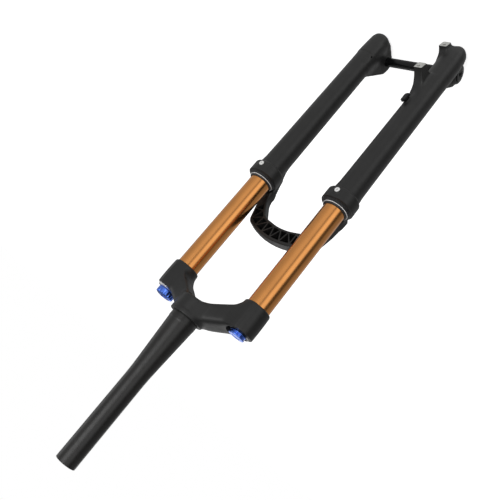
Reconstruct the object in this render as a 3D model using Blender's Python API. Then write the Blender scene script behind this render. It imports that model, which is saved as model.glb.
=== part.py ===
"""Mountain-bike suspension fork: tapered steerer, forged crown, two stanchions and a one-piece cast lower.

Frame: the origin is on the steerer's axis in the plane of the crown-race seat. +Z runs up the steerer,
-Y is the front of the bicycle and +X is the rider's left, where the brake posts are.
"""

import math

import bmesh
import bpy
from mathutils import Matrix, Vector

MM = 0.001

# Driving dimensions
TRAVEL = 160 * MM
LEG_X = 71 * MM  # half the distance between the stanchions' axes
LEG_Y = -16 * MM  # crown offset
STANCHION_R = 17 * MM
STANCHION_BORE_R = 14.8 * MM
STANCHION_TOP = -36.3 * MM
STANCHION_END = -372 * MM
GAP = 0.3 * MM  # between pieces that are fixed to each other
SLIDE_GAP = 0.1 * MM  # between pieces that run on each other

STEERER_TOP = 222 * MM
STEERER_R = 14.3 * MM
STEERER_BASE_R = 19.9 * MM
STEERER_BORE_R = 11.6 * MM
TAPER_LOW, TAPER_HIGH = 6 * MM, 86 * MM
BOSS_BOTTOM = -31 * MM
BOSS_TOP = -3.6 * MM  # the shoulder that the crown race sits on
BOSS_R = 24.4 * MM
RACE_SEAT_R = 23 * MM

CLAMP_R = 20 * MM
CLAMP_TOP = -28.4 * MM
CAP_SEAT = -29 * MM  # floor of the spot face in the clamp's top
CLAMP_BOTTOM = -69 * MM
SOCKET_R = STANCHION_R + GAP
THROAT_R = 15.3 * MM
SPOT_FACE_R = 17.6 * MM

COLLAR_TOP = -250.5 * MM
COLLAR_R = 23.4 * MM
LEG_TOP_R = 20 * MM
LEG_LOW_R = 18.9 * MM
FOOT_R = 19.5 * MM
FOOT_STEP = -541 * MM
FOOT_BOTTOM = -591.5 * MM
FOOT_WALL_TOP = -568 * MM
FOOT_RECESS_R = 9.5 * MM
FOOT_RECESS_TOP = -582 * MM
FOOT_HOLE_R = 4.6 * MM
LEG_BORE_R = 18.2 * MM
SEAL_POCKET_R = 20.6 * MM
FOAM_POCKET_R = 20 * MM
SEAL_POCKET_END = -258 * MM
FOAM_END = -266 * MM
BUSH_R = 17.9 * MM

AXLE_Y, AXLE_Z = -45 * MM, -574 * MM
AXLE_R = 7.5 * MM
HUB_HALF = 55 * MM  # half the hub's width
LUG_R = 16.3 * MM
LUG_OUTER = 78 * MM
HUB_SEAT_R = 13 * MM
AXLE_HEAD_R = 10.4 * MM
AXLE_HEAD_X = 71 * MM

ARCH_FRONT, ARCH_REAR = -58 * MM, -40 * MM
ARCH_POCKET_FLOOR = -52 * MM
ARCH_RIM = 3.2 * MM
ARCH_RIB = 1.8 * MM
ARCH_CELLS = 17

POST_X = 57.5 * MM
POST_UPPER = Vector((POST_X, 26 * MM, -501 * MM))
POST_LOWER = Vector((POST_X, 9 * MM, -573 * MM))
POST_SIDE = 13 * MM
POST_HOLE_R = 2.5 * MM
POST_HOLE_DEPTH = 13 * MM

BLEED_Z = -262 * MM
BLEED_SEAT = 25 * MM  # from the leg's axis to the face under the screw's head

STEPS = 28  # sides of a turned piece on a leg's axis
INNER_STEPS = 24

BLACK_SATIN = ("black_satin", (0.020, 0.020, 0.021), 0.45, 0.0)
BLACK_ANODISED = ("black_anodised", (0.015, 0.015, 0.016), 0.35, 0.6)
BLACK_RUBBER = ("black_rubber", (0.012, 0.012, 0.012), 0.70, 0.0)
BRONZE_GOLD = ("bronze_gold", (0.62, 0.28, 0.08), 0.28, 0.9)
BLUE_ANODISED = ("blue_anodised", (0.03, 0.12, 0.62), 0.25, 0.8)
BARE_METAL = ("bare_metal", (0.62, 0.63, 0.63), 0.30, 1.0)
STEEL = ("steel", (0.55, 0.55, 0.56), 0.25, 1.0)
BRONZE_BUSH = ("bronze_bush", (0.35, 0.24, 0.12), 0.45, 0.8)
FOAM = ("foam", (0.10, 0.10, 0.11), 0.95, 0.0)
ELASTOMER = ("elastomer", (0.55, 0.30, 0.05), 0.60, 0.0)


def material(finish):
    name, color, roughness, metallic = finish
    made = bpy.data.materials.get(name)
    if made is None:
        made = bpy.data.materials.new(name)
        made.use_nodes = True
        shader = made.node_tree.nodes["Principled BSDF"]
        shader.inputs["Base Color"].default_value = (*color, 1.0)
        shader.inputs["Roughness"].default_value = roughness
        shader.inputs["Metallic"].default_value = metallic
    return made


def mesh_object(name, shape, finish=BLACK_SATIN):
    """Closes a bmesh into an object that is in the scene and shaded smooth, apart from its real edges."""
    bmesh.ops.remove_doubles(shape, verts=shape.verts, dist=1e-6)
    bmesh.ops.recalc_face_normals(shape, faces=shape.faces)
    mesh = bpy.data.meshes.new(name)
    shape.to_mesh(mesh)
    shape.free()
    mesh.shade_smooth()
    mesh.set_sharp_from_angle(angle=math.radians(35))
    mesh.materials.append(material(finish))
    made = bpy.data.objects.new(name, mesh)
    bpy.context.scene.collection.objects.link(made)
    return made


def along(direction):
    """The rotation that takes +Z to a direction."""
    return Vector((0, 0, 1)).rotation_difference(Vector(direction)).to_matrix().to_4x4()


def turned(name, outline, finish=BLACK_SATIN, at=(0, 0, 0), axis=(0, 0, 1), steps=STEPS):
    """A closed outline of (radius, height) points turned about an axis through a point."""
    shape = bmesh.new()
    ring = [shape.verts.new((radius, 0, height)) for radius, height in outline]
    edges = [shape.edges.new(pair) for pair in zip(ring, ring[1:] + ring[:1])]
    edges = [edge for edge in edges if max(abs(v.co.x) for v in edge.verts) > 0]
    bmesh.ops.spin(
        shape,
        geom=ring + edges,
        cent=(0, 0, 0),
        axis=(0, 0, 1),
        angle=2 * math.pi,
        steps=steps,
    )
    bmesh.ops.remove_doubles(shape, verts=shape.verts, dist=1e-6)
    loose = [edge for edge in shape.edges if not edge.link_faces]
    bmesh.ops.delete(shape, geom=loose, context="EDGES")
    shape.transform(Matrix.Translation(at) @ along(axis))
    return mesh_object(name, shape, finish)


def rod(name, radius, low, high, finish=BLACK_SATIN, at=(0, 0, 0), axis=(0, 0, 1), steps=STEPS):
    return turned(name, [(0, low), (radius, low), (radius, high), (0, high)], finish, at, axis, steps)


def ring(name, inner, outer, low, high, finish, at=(0, 0, 0), axis=(0, 0, 1), steps=STEPS):
    outline = [(inner, low), (outer, low), (outer, high), (inner, high)]
    return turned(name, outline, finish, at, axis, steps)


def prism(name, outline, low, high, finish=BLACK_SATIN, frame=Matrix.Identity(4)):
    """A flat outline in the frame's XY plane, extruded along its Z."""
    shape = bmesh.new()
    base = shape.faces.new([shape.verts.new((x, y, low)) for x, y in outline])
    pushed = bmesh.ops.extrude_face_region(shape, geom=[base])["geom"]
    top = [item for item in pushed if isinstance(item, bmesh.types.BMVert)]
    bmesh.ops.translate(shape, verts=top, vec=(0, 0, high - low))
    shape.transform(frame)
    return mesh_object(name, shape, finish)


def loft(name, sections, finish=BLACK_SATIN):
    """Rings of points joined one to the next, and closed at both ends."""
    shape = bmesh.new()
    rings = [[shape.verts.new(point) for point in section] for section in sections]
    for first, second in zip(rings, rings[1:]):
        for i in range(len(first)):
            shape.faces.new((first[i - 1], first[i], second[i], second[i - 1]))
    shape.faces.new(rings[0])
    shape.faces.new(rings[-1])
    return mesh_object(name, shape, finish)


def hull(name, points, finish=BLACK_SATIN):
    """The tightest convex solid around some points."""
    shape = bmesh.new()
    for point in points:
        shape.verts.new(point)
    found = bmesh.ops.convex_hull(shape, input=shape.verts)
    inside = [item for item in found["geom_interior"] if isinstance(item, bmesh.types.BMVert)]
    bmesh.ops.delete(shape, geom=inside, context="VERTS")
    bmesh.ops.dissolve_limit(
        shape, angle_limit=math.radians(0.5), verts=shape.verts, edges=shape.edges
    )
    return mesh_object(name, shape, finish)


def combine(body, tool, operation):
    """Applies a Boolean with a tool, which is then removed.

    The exact solver leaves open edges where several bores cross one flat end, so this is the manifold one.
    """
    change = body.modifiers.new(operation, "BOOLEAN")
    change.object = tool
    change.operation = operation
    change.solver = "MANIFOLD"
    graph = bpy.context.evaluated_depsgraph_get()
    mesh = bpy.data.meshes.new_from_object(body.evaluated_get(graph))
    body.modifiers.remove(change)
    body.data = mesh
    bpy.data.objects.remove(tool)
    mesh.shade_smooth()
    mesh.set_sharp_from_angle(angle=math.radians(35))


def cut(body, tool):
    combine(body, tool, "DIFFERENCE")


def add(body, tool):
    combine(body, tool, "UNION")


def pivot(name, place):
    """An empty on a moving group's axis."""
    made = bpy.data.objects.new(name, None)
    made.location = place
    made.empty_display_size = 20 * MM
    bpy.context.scene.collection.objects.link(made)
    return made


def hang(pieces, parent):
    """Parents pieces to an empty and leaves them where they are."""
    bpy.context.view_layer.update()
    for piece in pieces:
        piece.parent = parent
        piece.matrix_parent_inverse = parent.matrix_world.inverted()


def leg(side):
    """The point on a leg's axis at the height of the crown-race seat; side is 1 on the rider's left."""
    return Vector((side * LEG_X, LEG_Y, 0))


def disc(center, radius, normal, count=20):
    """Points of a circle."""
    turn = along(normal)
    return [
        Vector(center) + turn @ Vector((radius * math.cos(a), radius * math.sin(a), 0))
        for a in (2 * math.pi * i / count for i in range(count))
    ]


def rounded(corners, count=4):
    """A path through (x, z, fillet radius) corners whose fillets are arcs; the ends stay sharp."""
    path = [Vector(corners[0][:2])]
    for before, (x, z, radius), after in zip(corners, corners[1:], corners[2:]):
        corner = Vector((x, z))
        back = (Vector(before[:2]) - corner).normalized()
        ahead = (Vector(after[:2]) - corner).normalized()
        half = back.angle(ahead) / 2
        center = corner + (back + ahead).normalized() * radius / math.sin(half)
        start = corner + back * radius / math.tan(half) - center
        end = corner + ahead * radius / math.tan(half) - center
        for i in range(count + 1):
            path.append(center + start.normalized().slerp(end.normalized(), i / count) * radius)
    path.append(Vector(corners[-1][:2]))
    return path


def at_fraction(path, fraction):
    """The point at a fraction of a path's length."""
    lengths = [(b - a).length for a, b in zip(path, path[1:])]
    left = fraction * sum(lengths)
    for a, b, length in zip(path, path[1:], lengths):
        if left <= length:
            return a.lerp(b, left / length)
        left -= length
    return path[-1].copy()


# Upper half


def make_steerer():
    outline = [
        (16.2 * MM, BOSS_BOTTOM + 1 * MM),
        (STEERER_BASE_R, BOSS_BOTTOM + 1 * MM),
        (STEERER_BASE_R, TAPER_LOW),
        (STEERER_R, TAPER_HIGH),
        (STEERER_R, STEERER_TOP - 0.6 * MM),
        (STEERER_R - 0.6 * MM, STEERER_TOP),
        (STEERER_BORE_R, STEERER_TOP),
        (STEERER_BORE_R, 110 * MM),
        (16.2 * MM, 12 * MM),
    ]
    return turned("steerer_tube", outline, BLACK_ANODISED)


def crown_section(x, top, bottom, front, rear, count=20):
    """A rounded rectangle in the plane at x."""
    mid_y, mid_z = (front + rear) / 2, (top + bottom) / 2
    points = []
    for i in range(count):
        a = 2 * math.pi * i / count
        c, s = math.cos(a), math.sin(a)
        grow = (abs(c) ** 5 + abs(s) ** 5) ** (-1 / 5)
        points.append((x, mid_y + c * grow * (rear - front) / 2, mid_z + s * grow * (top - bottom) / 2))
    return points


def make_crown():
    crown = turned(
        "crown",
        [
            (0, BOSS_BOTTOM),
            (21 * MM, BOSS_BOTTOM),
            (BOSS_R, BOSS_BOTTOM + 5 * MM),
            (BOSS_R, -15 * MM),
            (RACE_SEAT_R + 0.6 * MM, BOSS_TOP - 1.2 * MM),
            (RACE_SEAT_R, BOSS_TOP),
            (0, BOSS_TOP),
        ],
    )
    # x, top, bottom, front and rear of the arm, in millimetres
    half = [
        (0, -6, -30.5, -25, 12),
        (14, -6.5, -31.5, -25.5, 11),
        (26, -10, -37, -28, 8.5),
        (38, -16, -44, -31, 6),
        (50, -22, -51.5, -33.5, 4.5),
        (60, -26, -60.5, -34.5, 3.5),
        (69, -27, -64, -33.3, 1.3),
    ]
    table = [(-x, *rest) for x, *rest in reversed(half[1:])] + half
    add(crown, loft("arms", [crown_section(*(v * MM for v in row)) for row in table]))
    for side in (1, -1):
        clamp = [
            (0, CLAMP_BOTTOM),
            (18.6 * MM, CLAMP_BOTTOM),
            (CLAMP_R, CLAMP_BOTTOM + 2 * MM),
            (CLAMP_R + 0.4 * MM, -50 * MM),
            (CLAMP_R, CLAMP_TOP - 1.6 * MM),
            (CLAMP_R - 1.2 * MM, CLAMP_TOP),
            (0, CLAMP_TOP),
        ]
        add(crown, turned("clamp", clamp, at=leg(side)))
        socket = [
            (0, CLAMP_BOTTOM - 10 * MM),
            (SOCKET_R, CLAMP_BOTTOM - 10 * MM),
            (SOCKET_R, STANCHION_TOP + GAP),
            (THROAT_R, STANCHION_TOP + GAP),
            (THROAT_R, CAP_SEAT),
            (SPOT_FACE_R, CAP_SEAT),
            (SPOT_FACE_R, 10 * MM),
            (0, 10 * MM),
        ]
        cut(crown, turned("socket", socket, at=leg(side)))
    cut(crown, rod("steerer_seat", STEERER_BASE_R + GAP, -60 * MM, 10 * MM))
    return crown


def make_stanchion(side, name):
    outline = [
        (STANCHION_BORE_R, STANCHION_END),
        (STANCHION_R - 0.8 * MM, STANCHION_END),
        (STANCHION_R, STANCHION_END + 1.5 * MM),
        (STANCHION_R, STANCHION_TOP),
        (STANCHION_BORE_R, STANCHION_TOP),
    ]
    return turned(name, outline, BRONZE_GOLD, leg(side))


def make_air_top_cap():
    outline = [
        (2.9 * MM, -48 * MM),
        (14.4 * MM, -48 * MM),
        (14.4 * MM, CAP_SEAT + GAP),
        (16.4 * MM, CAP_SEAT + GAP),
        (16.4 * MM, -27.9 * MM),
        (8.4 * MM, -27.9 * MM),
        (8.4 * MM, -23.5 * MM),
        (2.9 * MM, -23.5 * MM),
    ]
    return turned("air_top_cap", outline, BLACK_ANODISED, leg(1))


def make_valve_core():
    outline = [
        (0, -46 * MM),
        (2.0 * MM, -46 * MM),
        (2.6 * MM, -44 * MM),
        (2.6 * MM, -23.2 * MM),
        (0, -23.2 * MM),
    ]
    return turned("air_valve_core", outline, BARE_METAL, leg(1), steps=12)


def make_air_valve_cap():
    """A low grooved cap that screws on over the valve."""
    bottom, top, radius = -27.6 * MM, -21.4 * MM, 12 * MM
    outline = [
        (8.8 * MM, bottom),
        (radius, bottom),
        (radius, bottom + 1.8 * MM),
        (radius - 1.3 * MM, bottom + 2.4 * MM),
        (radius - 1.3 * MM, bottom + 3.6 * MM),
        (radius, bottom + 4.2 * MM),
        (radius - 1.2 * MM, top),
        (0, top),
        (0, top - 1.4 * MM),
        (8.8 * MM, top - 1.4 * MM),
    ]
    return turned("air_valve_cap", outline, BLUE_ANODISED, leg(1))


def make_damper_top_cap():
    outline = [
        (3.3 * MM, -48 * MM),
        (14.4 * MM, -48 * MM),
        (14.4 * MM, CAP_SEAT + GAP),
        (17.2 * MM, CAP_SEAT + GAP),
        (17.2 * MM, -25.4 * MM),
        (16.4 * MM, -24.6 * MM),
        (3.3 * MM, -24.6 * MM),
    ]
    return turned("damper_top_cap", outline, BARE_METAL, leg(-1))


def make_compression_knob():
    """A fluted dial on a stem that turns in the damper's top cap."""
    bottom, top, radius, flutes = -24.3 * MM, -14.4 * MM, 13.8 * MM, 8
    outline = [
        (0, -40 * MM),
        (3.1 * MM, -40 * MM),
        (3.1 * MM, bottom),
        (radius - 0.6 * MM, bottom),
        (radius, bottom + 0.8 * MM),
        (radius, top - 1.4 * MM),
        (radius - 1.6 * MM, top),
        (6.5 * MM, top),
        (6.0 * MM, top - 1.0 * MM),
        (0, top - 1.0 * MM),
    ]
    knob = turned("compression_knob", outline, BLUE_ANODISED, leg(-1))
    for i in range(flutes):
        angle = 2 * math.pi * i / flutes
        place = leg(-1) + Vector((math.cos(angle), math.sin(angle), 0)) * (radius + 1.9 * MM)
        cut(knob, rod("flute", 3 * MM, bottom + 3 * MM, 0, at=place, steps=8))
    return knob


def make_air_seal_head():
    """Closes the air chamber; the air shaft runs through it."""
    outline = [
        (4.1 * MM, -371.6 * MM),
        (11 * MM, -371.6 * MM),
        (14.5 * MM, -369.6 * MM),
        (14.5 * MM, -357 * MM),
        (4.1 * MM, -357 * MM),
    ]
    return turned("air_seal_head", outline, BLACK_ANODISED, leg(1), steps=INNER_STEPS)


def make_damper_body():
    cartridge = ring(
        "damper_cartridge_tube", 11.8 * MM, 13 * MM, -356.5 * MM, -48.5 * MM, BARE_METAL, leg(-1), steps=INNER_STEPS
    )
    valve = turned(
        "base_valve",
        [
            (0, -86 * MM),
            (11.4 * MM, -86 * MM),
            (11.4 * MM, -78 * MM),
            (6 * MM, -76 * MM),
            (6 * MM, -56 * MM),
            (0, -56 * MM),
        ],
        BARE_METAL,
        leg(-1),
        steps=INNER_STEPS,
    )
    head = turned(
        "damper_seal_head",
        [
            (4.6 * MM, -371.6 * MM),
            (11 * MM, -371.6 * MM),
            (14.5 * MM, -369.6 * MM),
            (14.5 * MM, -357 * MM),
            (4.6 * MM, -357 * MM),
        ],
        BLACK_ANODISED,
        leg(-1),
        steps=INNER_STEPS,
    )
    return [cartridge, valve, head]


# Lower half


def leg_outline():
    """The outside of a leg."""
    return [
        (0, FOOT_BOTTOM),
        (11 * MM, FOOT_BOTTOM),
        (15 * MM, FOOT_BOTTOM + 2.4 * MM),
        (17.8 * MM, FOOT_BOTTOM + 7.5 * MM),
        (FOOT_R, FOOT_BOTTOM + 19 * MM),
        (FOOT_R, FOOT_STEP - 1 * MM),
        (LEG_LOW_R, FOOT_STEP + 0.6 * MM),
        (LEG_LOW_R, -500 * MM),
        (LEG_TOP_R, -310 * MM),
        (LEG_TOP_R + 0.4 * MM, -281 * MM),
        (COLLAR_R - 0.9 * MM, -271 * MM),
        (COLLAR_R, -265 * MM),
        (COLLAR_R, COLLAR_TOP - 3 * MM),
        (COLLAR_R - 1.4 * MM, COLLAR_TOP),
        (0, COLLAR_TOP),
    ]


def bore_outline():
    """The hollow of a leg: foot recess, bolt hole, bore, foam pocket and seal pocket."""
    return [
        (0, FOOT_BOTTOM - 20 * MM),
        (FOOT_RECESS_R, FOOT_BOTTOM - 20 * MM),
        (FOOT_RECESS_R, FOOT_RECESS_TOP),
        (FOOT_HOLE_R, FOOT_RECESS_TOP),
        (FOOT_HOLE_R, FOOT_WALL_TOP),
        (LEG_BORE_R, FOOT_WALL_TOP),
        (LEG_BORE_R, FOAM_END),
        (FOAM_POCKET_R, FOAM_END),
        (FOAM_POCKET_R, SEAL_POCKET_END),
        (SEAL_POCKET_R, SEAL_POCKET_END),
        (SEAL_POCKET_R, COLLAR_TOP),
        (COLLAR_R, COLLAR_TOP),
        (COLLAR_R, COLLAR_TOP + 20 * MM),
        (0, COLLAR_TOP + 20 * MM),
    ]


def lug(side):
    """The dropout's web, from the leg's front down to the axle."""
    x_in, x_out = side * (HUB_HALF + 1.5 * MM), side * LUG_OUTER
    points = disc((x_in, AXLE_Y, AXLE_Z), LUG_R - 1.2 * MM, (1, 0, 0))
    points += disc((x_in + side * 1.5 * MM, AXLE_Y, AXLE_Z), LUG_R, (1, 0, 0))
    points += disc((x_out - side * 2 * MM, AXLE_Y, AXLE_Z), LUG_R, (1, 0, 0))
    points += disc((x_out, AXLE_Y, AXLE_Z), LUG_R - 2 * MM, (1, 0, 0))
    for x in (x_in, x_out):
        points += disc((x, -20 * MM, -577 * MM), 11 * MM, (1, 0, 0), 12)
        points.append(Vector((x, -30 * MM, -514 * MM)))
    return hull("lug", points)


def arch_paths():
    """The arch's outer and inner outlines in the XZ plane, from the rider's right to the left."""
    outer = [(-76, -252), (-71, -222, 60), (-62, -190, 14), (0, -169, 120)]
    inner = [(-61, -252), (-58.5, -236, 24), (-40, -205.5, 22), (0, -196.5, 90)]
    return [
        rounded([tuple(v * MM for v in corner) for corner in half + [(-half[i][0], *half[i][1:]) for i in (2, 1, 0)]])
        for half in (outer, inner)
    ]


def arch_cells(outer, inner):
    """Triangular pockets between zig-zag ribs, as outlines in the XZ plane."""
    start, end = 0.17, 0.83
    cells = []
    for i in range(ARCH_CELLS):
        stations = [start + (end - start) * (i + k) / (ARCH_CELLS + 1) for k in range(3)]
        near, far = (outer, inner) if i % 2 else (inner, outer)
        corners = []
        for k, station in enumerate(stations):
            own, other = (near, far) if k != 1 else (far, near)
            here, there = at_fraction(own, station), at_fraction(other, station)
            corners.append(here + (there - here).normalized() * ARCH_RIM)
        middle = sum(corners, Vector((0, 0))) / 3
        sides = [
            (b - a).length * abs((middle - a).cross(b - a)) / (b - a).length_squared
            for a, b in zip(corners, corners[1:] + corners[:1])
        ]
        shrink = 1 - ARCH_RIB / 2 / min(sides)
        cells.append([middle + (corner - middle) * shrink for corner in corners])
    return cells


def make_arch():
    outer, inner = arch_paths()
    upright = Matrix(((1, 0, 0, 0), (0, 0, -1, 0), (0, 1, 0, 0), (0, 0, 0, 1)))
    outline = outer + list(reversed(inner))
    arch = prism("arch", outline, -ARCH_REAR, -ARCH_FRONT, frame=upright)
    for cell in arch_cells(outer, inner):
        cut(arch, prism("cell", cell, -ARCH_REAR - 5 * MM, -ARCH_POCKET_FLOOR, frame=upright))
    return arch


def arch_root(side):
    """The gusset that joins a collar's front to the arch."""
    points = []
    for x, y, z in (
        (61, -40.5, -238),
        (72, -40.5, -236),
        (61, -57, -244),
        (74, -57, -242),
        (56, -30, -257),
        (53, -28, -272),
        (60, -42, -254),
        (76, -50, -258),
        (64, -50, -262),
        (79, -30, -253),
        (60, -32, -288),
        (79, -34, -284),
        (80, -34, -264),
    ):
        points.append((side * x * MM, y * MM, z * MM))
    return hull("arch_root", points)


def post_frame(center):
    """A frame on a brake post's face: Z is the face's normal and Y runs from post to post."""
    run = (POST_UPPER - POST_LOWER).normalized()
    across = Vector((1, 0, 0))
    normal = run.cross(across)
    return Matrix.Translation(center) @ Matrix((-across, run, normal)).transposed().to_4x4()


def post_arm(center, reach, high, low):
    """A brake post: a square face on an arm that widens into the leg between two heights."""
    frame = post_frame(center)
    half = POST_SIDE / 2
    points = [frame @ Vector((x * half, y * half, 0)) for x in (-1, 1) for y in (-1, 1)]
    points += [frame @ Vector((x * half * 1.1, y * half * 1.2, -reach)) for x in (-1, 1) for y in (-1, 1)]
    for z in (high, low):
        points += [Vector((x * MM, y * MM, z)) for x, y in ((57, -12), (57, -4), (68, 0), (70, -10))]
    return hull("post", points)


def make_lowers():
    lowers = turned("lowers", leg_outline(), at=leg(1))
    add(lowers, make_arch())
    add(lowers, turned("right_leg", leg_outline(), at=leg(-1)))
    for side in (1, -1):
        add(lowers, arch_root(side))
        add(lowers, lug(side))
        add(
            lowers,
            rod("hub_seat", HUB_SEAT_R, HUB_HALF, 60 * MM, at=(0, AXLE_Y, AXLE_Z), axis=(side, 0, 0), steps=20),
        )
        boss = [(0, 18 * MM), (5.2 * MM, 18 * MM), (4.2 * MM, BLEED_SEAT), (0, BLEED_SEAT)]
        add(lowers, turned("bleed_boss", boss, at=leg(side) + Vector((0, 0, BLEED_Z)), axis=(0, 1, 0), steps=16))
    add(lowers, post_arm(POST_UPPER, 9 * MM, -474 * MM, -518 * MM))
    add(lowers, post_arm(POST_LOWER, 6 * MM, -559 * MM, -584 * MM))
    add(lowers, guide_boss())
    for side in (1, -1):
        cut(lowers, turned("bore", bore_outline(), at=leg(side)))
        place = leg(side) + Vector((0, 0, BLEED_Z))
        cut(lowers, rod("bleed_hole", 2.1 * MM, 15 * MM, 40 * MM, at=place, axis=(0, 1, 0), steps=12))
    cut(lowers, rod("axle_hole", AXLE_R + GAP, -100 * MM, 100 * MM, at=(0, AXLE_Y, AXLE_Z), axis=(1, 0, 0), steps=24))
    head = (AXLE_HEAD_X - GAP, AXLE_Y, AXLE_Z)
    cut(lowers, rod("axle_head_seat", AXLE_HEAD_R + GAP, 0, 30 * MM, at=head, axis=(1, 0, 0), steps=24))
    for center in (POST_UPPER, POST_LOWER):
        normal = post_frame(center).to_3x3().col[2]
        cut(lowers, rod("post_hole", POST_HOLE_R, -POST_HOLE_DEPTH, 5 * MM, at=center, axis=normal, steps=16))
    cut(lowers, rod("guide_hole", 1.6 * MM, -2.8 * MM, 6 * MM, at=GUIDE_AT, axis=GUIDE_OUT, steps=12))
    return lowers


GUIDE_OUT = Vector((-0.45, 0.893, 0)).normalized()
GUIDE_AT = Vector((LEG_X, LEG_Y, -456 * MM)) + GUIDE_OUT * 21.6 * MM


def guide_boss():
    return hull(
        "guide_boss",
        disc(GUIDE_AT, 4.6 * MM, GUIDE_OUT, 12) + disc(GUIDE_AT - GUIDE_OUT * 6 * MM, 7 * MM, GUIDE_OUT, 12),
    )


def make_hose_guide():
    """A saddle screwed to the leg that holds the brake hose in a groove."""
    frame = Matrix.Translation(GUIDE_AT) @ along(GUIDE_OUT)
    side = frame.to_3x3().inverted() @ Vector((0, 0, 1))
    up = math.atan2(side.y, side.x)
    frame = frame @ Matrix.Rotation(up, 4, "Z")
    outline = [(5.6, -4), (6.8, -2.5), (6.8, 2.5), (5.6, 4), (-5.6, 4), (-6.8, 2.5), (-6.8, -2.5), (-5.6, -4)]
    outline = [(x * MM, y * MM) for x, y in outline]
    guide = prism("hose_guide", outline, GAP, 4.4 * MM, BLACK_ANODISED, frame)
    groove_at = frame @ Vector((0, 6.1 * MM, 3.2 * MM))
    cut(guide, rod("groove", 2.6 * MM, -20 * MM, 20 * MM, at=groove_at, steps=12))
    cut(guide, rod("hole", 1.9 * MM, -5 * MM, 10 * MM, at=GUIDE_AT, axis=GUIDE_OUT, steps=12))
    outline = [
        (0, -2.5 * MM),
        (1.3 * MM, -2.5 * MM),
        (1.3 * MM, 4.7 * MM),
        (2.7 * MM, 4.7 * MM),
        (2.7 * MM, 6 * MM),
        (2 * MM, 6.6 * MM),
        (0, 6.6 * MM),
    ]
    screw = turned("hose_guide_screw", outline, STEEL, GUIDE_AT, GUIDE_OUT, 16)
    return [guide, screw]


def make_seals(side, word):
    """The pieces in a leg's mouth and bore that the stanchion slides through."""
    at = leg(side)
    wiper = turned(
        f"wiper_seal_{word}",
        [
            (STANCHION_R + 0.8 * MM, -257.5 * MM),
            (SEAL_POCKET_R - GAP, -257.5 * MM),
            (SEAL_POCKET_R - GAP, COLLAR_TOP + GAP),
            (COLLAR_R - 1.6 * MM, COLLAR_TOP + GAP),
            (COLLAR_R - 1.8 * MM, -248.2 * MM),
            (18.5 * MM, -247.6 * MM),
            (18.3 * MM, -243.6 * MM),
            (STANCHION_R + SLIDE_GAP, -242.8 * MM),
            (STANCHION_R + 0.8 * MM, -246 * MM),
        ],
        BLACK_RUBBER,
        at,
    )
    wire, radius = 0.75 * MM, 19.5 * MM
    section = [
        (radius + wire * math.cos(math.pi * i / 3), -246 * MM + wire * math.sin(math.pi * i / 3)) for i in range(6)
    ]
    garter = turned(f"garter_spring_{word}", section, STEEL, at)
    foam = ring(f"foam_ring_{word}", STANCHION_R + SLIDE_GAP, 19.7 * MM, FOAM_END + GAP, -258.3 * MM, FOAM, at)
    bushes = [
        ring(f"bush_{level}_{word}", STANCHION_R + SLIDE_GAP, BUSH_R, low * MM, high * MM, BRONZE_BUSH, at)
        for level, low, high in (("upper", -296, -268), ("lower", -366, -341))
    ]
    screw = turned(
        f"bleed_screw_{word}",
        [
            (0, 20.6 * MM),
            (1.8 * MM, 20.6 * MM),
            (1.8 * MM, BLEED_SEAT + GAP),
            (3.3 * MM, BLEED_SEAT + GAP),
            (3.3 * MM, BLEED_SEAT + 1.2 * MM),
            (2.8 * MM, BLEED_SEAT + 1.7 * MM),
            (1.3 * MM, BLEED_SEAT + 1.7 * MM),
            (1.3 * MM, BLEED_SEAT + 0.9 * MM),
            (0, BLEED_SEAT + 0.9 * MM),
        ],
        BARE_METAL,
        at + Vector((0, 0, BLEED_Z)),
        (0, 1, 0),
        18,
    )
    return [wiper, garter, foam, *bushes, screw]


def make_air_spring():
    """The shaft stands on the left foot and carries the piston inside the stanchion."""
    at = leg(1)
    shaft = ring("air_shaft", 2.5 * MM, 4 * MM, -581.5 * MM, -334 * MM, STEEL, at, steps=16)
    piston = turned(
        "air_piston",
        [
            (4.3 * MM, -345 * MM),
            (14.6 * MM, -345 * MM),
            (14.6 * MM, -341.5 * MM),
            (13.4 * MM, -341 * MM),
            (13.4 * MM, -338.5 * MM),
            (14.6 * MM, -338 * MM),
            (14.6 * MM, -334.5 * MM),
            (4.3 * MM, -334.5 * MM),
        ],
        BLACK_ANODISED,
        at,
        steps=INNER_STEPS,
    )
    top_out = ring("top_out_bumper", 4.3 * MM, 9.5 * MM, -356.5 * MM, -345.5 * MM, ELASTOMER, at, steps=INNER_STEPS)
    bottom_out = ring(
        "bottom_out_bumper", 4.3 * MM, 8.5 * MM, FOOT_WALL_TOP + GAP, -546 * MM, ELASTOMER, at, steps=INNER_STEPS
    )
    nut = prism(
        "foot_nut_left",
        [(7.2 * MM * math.cos(math.pi * i / 3), 7.2 * MM * math.sin(math.pi * i / 3)) for i in range(6)],
        -589.5 * MM,
        -583.3 * MM,
        STEEL,
        Matrix.Translation(at),
    )
    washer = ring("crush_washer_left", 4.3 * MM, 7.6 * MM, -583 * MM, -582.3 * MM, BARE_METAL, at, steps=16)
    return [shaft, piston, top_out, bottom_out, nut, washer]


def make_damper_rod():
    at = leg(-1)
    shaft = ring("damper_shaft", 2.6 * MM, 4.3 * MM, -584.5 * MM, -322 * MM, STEEL, at, steps=16)
    piston = turned(
        "damper_piston",
        [
            (4.8 * MM, -338 * MM),
            (11.5 * MM, -338 * MM),
            (11.5 * MM, -327 * MM),
            (4.8 * MM, -327 * MM),
        ],
        BARE_METAL,
        at,
        steps=INNER_STEPS,
    )
    nut = ring("foot_nut_right", 5.2 * MM, 8.2 * MM, -585.6 * MM, -583.3 * MM, STEEL, at, steps=6)
    washer = ring("crush_washer_right", 4.8 * MM, 8.6 * MM, -583 * MM, -582.3 * MM, BARE_METAL, at, steps=16)
    return [shaft, piston, nut, washer]


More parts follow.
